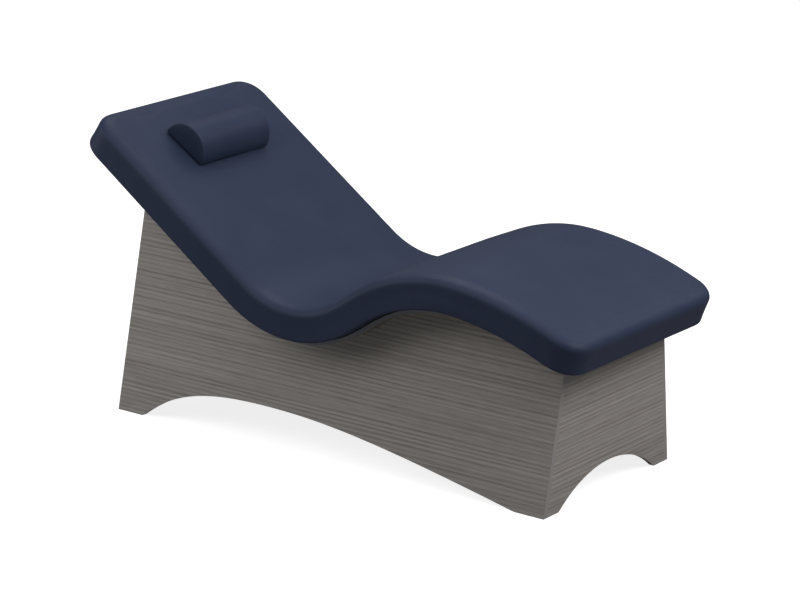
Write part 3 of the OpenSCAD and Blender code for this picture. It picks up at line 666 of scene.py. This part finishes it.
def swell(piece: bpy.types.Object, held: np.ndarray, most: float) -> None:
    """Lets a cover swell over its foam as cloth under pressure, and keeps the result.

    The foam keeps the cloth from sinking in, so only the way that it moves outwards is kept.

    Args:
        piece: the cover.
        held: for each corner, how firmly it is held, from 0 to 1.
        most: how far a corner may move.
    """
    before = vectors_of(piece.data.vertices, "co")
    outward = vectors_of(piece.data.vertex_normals, "vector")
    group = piece.vertex_groups.new(name="held")
    for weight in np.unique(held[held > 0]):
        group.add(np.flatnonzero(held == weight).tolist(), float(weight), "REPLACE")
    cloth = piece.modifiers.new("swell", "CLOTH")
    cloth.settings.vertex_group_mass = group.name
    cloth.settings.effector_weights.gravity = 0.0
    for name, value in CLOTH_SETTINGS.items():
        setattr(cloth.settings, name, value)
    cloth.point_cache.frame_start = 1
    cloth.point_cache.frame_end = SETTLING_FRAMES
    for number in range(1, SETTLING_FRAMES + 1):
        bpy.context.scene.frame_set(number)
    shown = piece.evaluated_get(bpy.context.evaluated_depsgraph_get())
    after = vectors_of(shown.data.vertices, "co")
    piece.modifiers.remove(cloth)
    piece.vertex_groups.remove(group)
    bpy.context.scene.frame_set(1)
    far = np.sum((after - before) * outward, axis=1, keepdims=True)
    far = most * np.tanh(np.maximum(far, 0.0) / most)
    LOG.info("%s swells by up to %.1f mm", piece.name, far.max() / MM)
    piece.data.vertices.foreach_set("co", (before + outward * far).ravel())
    piece.data.update()


def subdivide(piece: bpy.types.Object) -> None:
    """Replaces a piece's mesh by its subdivision surface, with each face cut once.

    Args:
        piece: the piece.
    """
    surface = piece.modifiers.new("subdivision", "SUBSURF")
    surface.levels = surface.render_levels = 1
    shown = piece.evaluated_get(bpy.context.evaluated_depsgraph_get())
    finer = bpy.data.meshes.new_from_object(shown)
    piece.modifiers.clear()
    piece.data = finer
    shade_smooth(finer)


def set_piece(piece: bpy.types.Object, finish: Finish, body: str, slot: str, *nodes: str) -> None:
    """Gives a new piece its finish and its place in the frame.

    Args:
        piece: the piece, where it belongs.
        finish: its finish.
        body: the body that it rides on.
        slot: not used.
        *nodes: the frame's nodes that it stands for.
    """
    piece.data.materials.clear()
    piece.data.materials.append(finish.material())
    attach(piece, body)
    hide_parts(*nodes)
    LOG.info("%s rides on %s, %d faces", piece.name, body, len(piece.data.polygons))


def finish_nodes(finish: Finish, *names: str) -> None:
    """Gives nodes of the frame a finish.

    Args:
        finish: their finish.
        *names: the nodes.
    """
    for name in names:
        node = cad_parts[name]
        node.data.materials.clear()
        node.data.materials.append(finish.material())
        LOG.info("%s is finished in %s", name, finish.name)


@dataclass
class PlanGrid:
    """Pairs and caps over the mattress's rounded plan, bent along the contour."""

    contour: Contour
    width: float = 0.779
    corner_r: float = 0.085
    cell: float = 0.014
    corner_steps: int = 6
    crown_run: float = 0.16  # how far in from the edge the crown reaches its height

    def __post_init__(self) -> None:
        """Lays out the stations along the contour and the shares across it."""
        length = self.contour.length()
        count = max(2, round((length - 2 * self.corner_r) / self.cell))
        self.mid = np.linspace(self.corner_r, length - self.corner_r, count + 1)[1:-1]
        self.sections = len(self.mid) + 1 + 2 * self.corner_steps
        self.across = max(4, 2 * round(self.width / self.cell / 2))
        self.shares = np.linspace(-1.0, 1.0, self.across + 1)
        self.ring_size = 2 * (self.sections + 1) + 2 * (self.across - 1)
        self.cap_size = (self.sections - 1) * (self.across - 1)

    def plan(self, inset: float) -> tuple[np.ndarray, np.ndarray]:
        """Works out the outline at an inset.

        Args:
            inset: how far inside the outermost outline it lies.

        Returns:
            Each section's station and half width.
        """
        steps = self.corner_steps
        turn = np.linspace(0.0, math.pi / 2, steps + 1)
        corner_s = inset + (self.corner_r - inset) * (1 - np.cos(turn))
        corner_y = self.width / 2 - self.corner_r + (self.corner_r - inset) * np.sin(turn)
        straight = np.full(len(self.mid), self.width / 2 - inset)
        stations = np.concatenate([corner_s, self.mid, self.contour.length() - corner_s[::-1]])
        halves = np.concatenate([corner_y, straight, corner_y[::-1]])
        return stations, halves

    def placed(self, stations: np.ndarray, y: np.ndarray, heights: np.ndarray) -> np.ndarray:
        """Turns stations, widths and heights to points of the frame."""
        x, z = self.contour.at(stations, heights)
        return np.column_stack([x, y, z])

    def ring(self, inset: float, height: float) -> np.ndarray:
        """Makes one closed ring of points.

        Args:
            inset: how far inside the outermost outline it lies.
            height: its height above the underside.

        Returns:
            The right side, the foot end, the left side and the head end in turn.
        """
        stations, halves = self.plan(inset)
        inner = self.shares[1:-1]
        ends = np.ones(len(inner))
        s = np.concatenate([stations, ends * stations[-1], stations[::-1], ends * stations[0]])
        y = np.concatenate([-halves, inner * halves[-1], halves[::-1], inner[::-1] * halves[0]])
        return self.placed(s, y, np.full(len(s), height))

    def cap(self, inset: float, height: float, crown: float) -> np.ndarray:
        """Makes the points inside a ring, which rise towards the middle.

        Args:
            inset: the ring's inset.
            height: the ring's height.
            crown: how far the middle rises above the ring.

        Returns:
            The points, section by section.
        """
        stations, halves = self.plan(inset)
        s = np.repeat(stations[1:-1], self.across - 1)
        half = np.repeat(halves[1:-1], self.across - 1)
        y = half * np.tile(self.shares[1:-1], len(stations) - 2)
        edge = np.minimum(half - np.abs(y), np.minimum(s, self.contour.length() - s))
        rise = crown * smooth_step(edge / self.crown_run)
        return self.placed(s, y, height + rise)

    def cap_faces(self, ring_start: int, cap_start: int, upward: bool) -> Faces:
        """Joins a ring and the points inside it.

        Args:
            ring_start: the ring's first point.
            cap_start: the first point inside it.
            upward: whether the faces look up.

        Returns:
            The faces.
        """
        last, across = self.sections, self.across
        index = np.zeros((last + 1, across + 1), dtype=int)
        k, m = np.arange(last + 1), np.arange(across + 1)
        inside = np.arange(self.cap_size).reshape(last - 1, across - 1)
        index[1:-1, 1:-1] = cap_start + inside
        index[0, :] = ring_start + self.ring_size - m
        index[last, :] = ring_start + last + m
        index[:, 0] = ring_start + k
        index[:, across] = ring_start + last + across + last - k
        a, b = index[:-1, :-1].ravel(), index[:-1, 1:].ravel()
        c, d = index[1:, 1:].ravel(), index[1:, :-1].ravel()
        order = [a, d, c, b] if upward else [a, b, c, d]
        return np.column_stack(order).tolist()

    def body(self, rings: Pairs, crown: float = 0.0) -> tuple[np.ndarray, Faces]:
        """Makes a closed body through rings, the first one below and the last one on top.

        Args:
            rings: each ring's inset and height.
            crown: how far the middle rises inside the last ring.

        Returns:
            The points and the faces.
        """
        caps = [self.cap(*rings[0], 0.0), self.cap(*rings[-1], crown)]
        points = np.vstack([self.ring(*r) for r in rings] + caps)
        start = len(rings) * self.ring_size
        faces = ring_faces(len(rings), self.ring_size)
        faces += self.cap_faces(0, start, False)
        faces += self.cap_faces(start - self.ring_size, start + self.cap_size, True)
        return points, faces


@dataclass
class Mattress:
    """The S-shaped mattress: a vinyl cover over two foams, closed below by a lining."""

    contour: Contour
    thick: float = 0.1065
    edge_r: float = 0.028
    edge_w: float = 0.039
    base_edge_r: float = 0.0065
    crown: float = 0.004
    wall_draw: float = 0.001
    cover_thick: float = 0.002
    support_h: float = 0.052
    hem_w: float = 0.0675
    under_w: float = 0.037125  # how far in the ring between the hem and the lower edge lies
    swell_most: float = 0.0022
    swell_start: float = 0.4  # the share of the swelling that the unswollen cover leaves free
    lower_rings: int = 4
    wall_rings: int = 5
    upper_rings: int = 7
    eased_hold: float = 0.6  # how firmly the first ring above the lower edge is held
    lining_thick: float = 0.001
    gap: float = 0.0002

    def upper_edge(self, inset: float, steps: int) -> Pairs:
        """Rounds the upper edge, from the wall to the top.

        Args:
            inset: how far inside the cover's outer face it lies.
            steps: how many rings it has after the first.

        Returns:
            Each ring's inset and height.
        """
        turns = [math.pi / 2 * j / steps for j in range(steps + 1)]
        wide, high = self.edge_w - inset, self.edge_r - inset
        top = self.thick - self.edge_r
        return [(self.edge_w - wide * math.cos(t), top + high * math.sin(t)) for t in turns]

    def side(self, inset: float) -> Pairs:
        """Follows the cover's side up over its lower edge, its wall and its upper edge.

        Args:
            inset: how far inside the cover's outer face it lies.

        Returns:
            Each ring's inset and height.
        """
        r, wall_h = self.base_edge_r, self.thick - self.edge_r - self.base_edge_r
        turns = [math.pi / 2 * j / self.lower_rings for j in range(self.lower_rings)]
        rings = [(inset + r * (1 - math.sin(t)), r * (1 - math.cos(t))) for t in turns]
        for share in (j / self.wall_rings for j in range(self.wall_rings + 1)):
            drawn_in = self.wall_draw * math.sin(math.pi * share)
            rings.append((inset + drawn_in, r + wall_h * share))
        return rings + self.upper_edge(inset, self.upper_rings)[1:]

    def cover(self) -> None:
        """Makes the cover, swollen a little over its foam."""
        grid = PlanGrid(self.contour)
        start = self.swell_most * self.swell_start
        hem = [(self.hem_w, self.cover_thick + self.gap), (self.hem_w, 0.0), (self.under_w, 0.0)]
        rings = hem + self.side(start)
        points, faces = grid.body(rings, self.crown - start)
        cover = add_mesh("mattress_upholstery", points, faces)
        held = np.zeros(len(points))
        firm = (len(hem) + self.lower_rings) * grid.ring_size
        caps = len(rings) * grid.ring_size
        held[:firm] = 1.0
        held[firm : firm + grid.ring_size] = self.eased_hold
        held[caps : caps + grid.cap_size] = 1.0
        swell(cover, held, self.swell_most)
        subdivide(cover)
        set_piece(cover, NAVY_VINYL, "root", "navy_vinyl", "mattress_cover")

    def foams(self) -> None:
        """Makes the soft upper foam and the firm lower one."""
        inset = self.cover_thick + self.gap + self.swell_most
        grid = PlanGrid(self.contour, cell=0.030, corner_steps=4)
        low, high = self.base_edge_r, self.thick - self.edge_r
        rise = (self.support_h - low) / (high - low)
        at_joint = inset + self.wall_draw * math.sin(math.pi * rise)
        soft = [(at_joint, self.support_h + self.gap)] + self.upper_edge(inset, 4)
        firm = [(low + inset, inset), (inset, low + inset), (at_joint, self.support_h)]
        for name, rings, finish in (
            ("comfort_foam", soft, COMFORT_FOAM),
            ("support_foam", firm, SUPPORT_FOAM),
        ):
            foam = add_mesh(f"{name}_block", *grid.body(rings))
            set_piece(foam, finish, "root", name, name)

    def lining(self) -> None:
        """Makes the lining cloth that closes the mattress underneath, inside the hem."""
        grid = PlanGrid(self.contour, cell=0.020, corner_steps=4)
        inset = self.hem_w + self.gap
        rings = [(inset, self.gap), (inset, self.gap + self.lining_thick)]
        lining = add_mesh("mattress_lining", *grid.body(rings))
        set_piece(lining, LINING, "root", "lining_cloth", "mattress_bottom_cloth")
        flat_len = self.contour.length() - 2 * inset

    def build(self) -> None:
        """Builds the whole mattress."""
        self.cover()
        self.foams()
        self.lining()
        finish_nodes(HOOKS, "mattress_hook_strips")
        finish_nodes(LOOPS, "deck_loop_strips", "headrest_loop_strips")


@dataclass
class Bolster:
    """The half-round neck bolster, held on the backrest by hook and loop strips."""

    contour: Contour
    length: float = 0.341
    taper: float = 0.06  # how much longer each end is for each unit towards the head
    shift: float = -0.0035
    radius: float = 0.0835
    station: float = 0.2255
    height: float = 0.1138  # of its flat side above the mattress underside
    foot_r: float = 0.005
    end_r: float = 0.0035
    end_dome: float = 0.0012
    cover_thick: float = 0.0015
    swell_most: float = 0.0018
    swell_start: float = 0.8  # the share of the swelling that the unswollen cover leaves free
    welt: float = 0.004
    seam_start: float = 1.3  # where the straight part stops, in welts before the end's edge
    seam: Sequence[Pair] = ((0.8, 1.0), (0.3, -0.6))  # its rows: welts before it, and depth
    seam_depth: float = 0.0007
    arc_steps: int = 30
    base_steps: int = 8
    foot_steps: int = 3
    straight_rows: int = 12
    end_turns: Sequence[float] = (30.0, 60.0, 90.0)
    end_shares: Sequence[float] = (0.12, 0.28, 0.46, 0.64, 0.82, 1.0)
    least_foot_r: float = 0.0004
    foot_share: float = 0.3  # the most that the foot's radius takes of the outline's
    core: float = 0.003  # how thick the innermost outline of an end stays

    def outline(self, inset: float) -> np.ndarray:
        """Makes the D-shaped outline at an inset.

        Args:
            inset: how far inside the outermost outline it lies.

        Returns:
            Each point's place along the contour and above the flat side.
        """
        r = self.radius - inset
        foot = max(self.foot_r - inset, self.least_foot_r)
        foot = min(foot, (r - inset) * self.foot_share)
        mid_v = inset + foot
        mid_u = math.sqrt(max((r - foot) ** 2 - mid_v**2, 1e-10))
        rise = math.atan2(mid_v, mid_u)
        base = np.linspace(-mid_u, mid_u, 2 * self.base_steps + 1)
        low = np.column_stack([base, np.full(len(base), inset)])
        turn = np.linspace(-math.pi / 2, rise, self.foot_steps + 1)[1:]
        front = np.column_stack([mid_u + foot * np.cos(turn), mid_v + foot * np.sin(turn)])
        arc = np.linspace(rise, math.pi - rise, self.arc_steps + 1)[1:-1]
        over = np.column_stack([r * np.cos(arc), r * np.sin(arc)])
        back = front[::-1] * [-1, 1]
        return np.vstack([low, front, over, back])

    def placed(self, outline: np.ndarray, y: float) -> np.ndarray:
        """Puts an outline across the backrest.

        Args:
            outline: places along the contour and above the flat side.
            y: where it stands across the width.

        Returns:
            The points in the frame.
        """
        x, z = self.contour.at(self.station + outline[:, 0], self.height + outline[:, 1])
        share = y / (self.length / 2)
        return np.column_stack([x, self.shift + y - self.taper * share * outline[:, 0], z])

    def rows(self, inset: float) -> Pairs:
        """Lists the outlines from the middle to one end.

        Args:
            inset: how far inside the cover's outer face they lie.

        Returns:
            Each outline's Y and inset.
        """
        edge_y = self.length / 2 - self.end_dome - inset
        seam_y = edge_y - self.end_r
        straight = np.linspace(0.0, seam_y - self.welt * self.seam_start, self.straight_rows)
        rows = [(float(y), inset) for y in straight]
        for before, depth in self.seam:
            rows.append((seam_y - self.welt * before, inset + self.seam_depth * depth))
        for t in map(math.radians, self.end_turns):
            along, inwards = 1 - math.sin(t), 1 - math.cos(t)
            rows.append((edge_y - self.end_r * along, inset + self.end_r * inwards))
        deepest = self.radius / 2 - self.core
        for share in self.end_shares:
            depth = self.end_r + (deepest - self.end_r - inset) * share
            lift = self.end_dome * (1 - (1 - share) ** 2)
            rows.append((edge_y + lift, inset + depth))
        return rows

    def body(self, inset: float) -> tuple[np.ndarray, Faces, int]:
        """Makes the bolster as a closed body.

        Args:
            inset: how far inside the cover's outer face it lies.

        Returns:
            The points, the faces, and how many points one outline has.
        """
        half = self.rows(inset)
        rows = [(-y, i) for y, i in half[:0:-1]] + half
        outlines = [self.placed(self.outline(i), y) for y, i in rows]
        size = len(outlines[0])
        hubs = [outlines[0].mean(axis=0), outlines[-1].mean(axis=0)]
        points = np.vstack(outlines + hubs)
        faces = [[a, d, c, b] for a, b, c, d in ring_faces(len(rows), size)]
        hub = len(points) - 2
        top = (len(rows) - 1) * size
        faces += [[hub, i, (i + 1) % size] for i in range(size)]
        faces += [[hub + 1, top + (i + 1) % size, top + i] for i in range(size)]
        return points, faces, size

    def cover(self) -> None:
        """Makes the sewn cover."""
        points, faces, size = self.body(self.swell_most * self.swell_start)
        cover = add_mesh("bolster_upholstery", points, faces)
        held = (np.arange(len(points)) % size <= 2 * self.base_steps).astype(float)
        held[-2:] = 0.0
        swell(cover, held, self.swell_most)
        subdivide(cover)
        set_piece(cover, BOLSTER_VINYL, "bolster", "bolster_vinyl", "bolster_cover")

    def foam(self) -> None:
        """Makes the foam inside."""
        points, faces, _ = self.body(self.cover_thick + self.swell_most)
        foam = add_mesh("bolster_foam_block", points, faces)
        set_piece(foam, COMFORT_FOAM, "bolster", "comfort_foam", "bolster_foam")

    def build(self) -> None:
        """Builds the whole bolster."""
        self.cover()
        self.foam()
        finish_nodes(LINING, "bolster_base_cloth")
        finish_nodes(HOOKS, "bolster_hook_strips")


@dataclass
class DeckAndFrame:
    """The bent plywood deck and the ribs, rails, blocks and brackets that carry it."""

    rails: Sequence[str] = ("head", "hip", "knee", "foot")

    def build(self) -> None:
        """Finishes each timber by the way its plies or its grain run."""
        finish_nodes(DECK_PLY, "contour_deck")
        finish_nodes(DECK_EDGING, "deck_edge_band")
        finish_nodes(RIB_PLY, "right_rib", "left_rib")
        finish_nodes(RAIL_PLY, *(f"{place}_cross_rail" for place in self.rails))
        finish_nodes(PINE, "rail_blocks")
        finish_nodes(ZINC, "deck_screws", "bracket_screws")
        finish_nodes(BRACKET, "deck_brackets")


@dataclass
class Base:
    """The four laminate panels, their corner posts and the levelling glides."""

    corners: Sequence[str] = ("head_right", "head_left", "foot_right", "foot_left")

    def build(self) -> None:
        """Finishes the panels, the posts and the glides."""
        finish_nodes(SIDE_LAMINATE, "right_side_panel", "left_side_panel")
        finish_nodes(END_LAMINATE, "head_end_panel", "foot_end_panel")
        finish_nodes(PANEL_EDGING, "panel_edge_bands")
        finish_nodes(PINE, *(f"{corner}_post" for corner in self.corners))
        finish_nodes(ZINC, "post_screws", *(f"{corner}_glide_stem" for corner in self.corners))
        finish_nodes(BRASS, "glide_inserts")
        finish_nodes(NYLON, *(f"{corner}_glide_foot" for corner in self.corners))


@dataclass(frozen=True)
class SoftBox:
    """A large flat lamp: where it stands, its size, its power and where it points."""

    name: str
    place: Triple
    size: Pair
    watts: float
    aim: Triple = (0.0, 0.0, 0.4)

    def build(self) -> None:
        """Hangs the lamp."""
        light = bpy.data.lights.new(self.name, "AREA")
        light.shape = "RECTANGLE"
        light.size, light.size_y = self.size
        light.energy = self.watts
        lamp = bpy.data.objects.new(self.name, light)
        bpy.context.scene.collection.objects.link(lamp)
        lamp.location = self.place
        turn = np.array(self.aim) - np.array(self.place)
        yaw = math.atan2(turn[1], turn[0])
        pitch = math.atan2(-turn[2], math.hypot(turn[0], turn[1]))
        lamp.rotation_euler = (math.pi / 2 - pitch, 0.0, yaw - math.pi / 2)


@dataclass
class Studio:
    """The white floor, the even surrounding light, the lamps and the camera."""

    floor_half: float = 14.0
    ambient: float = 0.07
    mirrored: float = 0.14
    camera_place: Triple = (5.5719, -7.2531, 3.1553)
    camera_turn: Triple = (73.501, 0.0, 37.391)
    lens_mm: float = 137.27
    sensor_mm: float = 36.0
    clip_end: float = 60.0
    floor_drop: float = 0.0002
    lamps: Sequence[SoftBox] = (
        SoftBox("foot_soft_box", (3.45, 0.0, 3.29), (2.2, 2.2), 89.0),
        SoftBox("near_top_box", (0.73, -1.5, 4.5), (3.0, 2.2), 30.0),
        SoftBox("far_top_box", (-1.35, 1.35, 4.48), (2.4, 2.4), 54.0),
        SoftBox("side_soft_box", (-1.07, -3.28, 3.29), (2.6, 2.2), 34.0),
        SoftBox("head_low_box", (-3.76, -2.17, 1.57), (2.2, 2.2), 30.0),
        SoftBox("far_soft_box", (1.5, 2.85, 3.45), (2.2, 2.2), 24.0),
    )

    def floor(self) -> None:
        """Lays the floor just under the panels' feet."""
        corners = np.array([(-1, -1, 0), (1, -1, 0), (1, 1, 0), (-1, 1, 0)])
        points = corners * self.floor_half - [0, 0, self.floor_drop]
        floor = add_mesh("studio_floor", points, [[0, 1, 2, 3]])
        floor.data.materials.append(FLOOR.material())

    def world(self) -> None:
        """Makes the surroundings: white to look at, softer as light."""
        world = bpy.data.worlds.new("studio")
        bpy.context.scene.world = world
        world.use_nodes = True
        kit = NodeKit(world.node_tree)
        kit.tree.nodes.clear()
        rays = kit.add("LightPath").outputs
        strength: Any = self.ambient
        for kind, seen in (("Is Glossy Ray", self.mirrored), ("Is Camera Ray", 1.0)):
            strength = kit.maths("MULTIPLY_ADD", rays[kind], seen - self.ambient, strength)
        surroundings = kit.add("Background", {"Color": WHITE, "Strength": strength})
        kit.add("OutputWorld", {"Surface": surroundings.outputs[0]})

    def camera(self) -> None:
        """Sets the camera at the photograph's viewing angle."""
        data = bpy.data.cameras.new("camera")
        data.lens = self.lens_mm
        data.sensor_width = self.sensor_mm
        data.sensor_fit = "HORIZONTAL"
        data.clip_end = self.clip_end
        camera = bpy.data.objects.new("camera", data)
        bpy.context.scene.collection.objects.link(camera)
        camera.location = self.camera_place
        camera.rotation_euler = tuple(math.radians(angle) for angle in self.camera_turn)
        bpy.context.scene.camera = camera

    def build(self) -> None:
        """Builds the whole studio."""
        self.floor()
        self.world()
        for lamp in self.lamps:
            lamp.build()
        self.camera()
        bpy.context.scene.view_settings.view_transform = "Standard"


def main() -> None:
    """Builds the lounger and its studio in order."""
    logging.basicConfig(level=logging.INFO, format="%(name)s: %(message)s")
    contour = Contour()
    Studio().build()
    Mattress(contour).build()
    Bolster(contour).build()
    DeckAndFrame().build()
    Base().build()


if __name__ == "__main__":
    main()
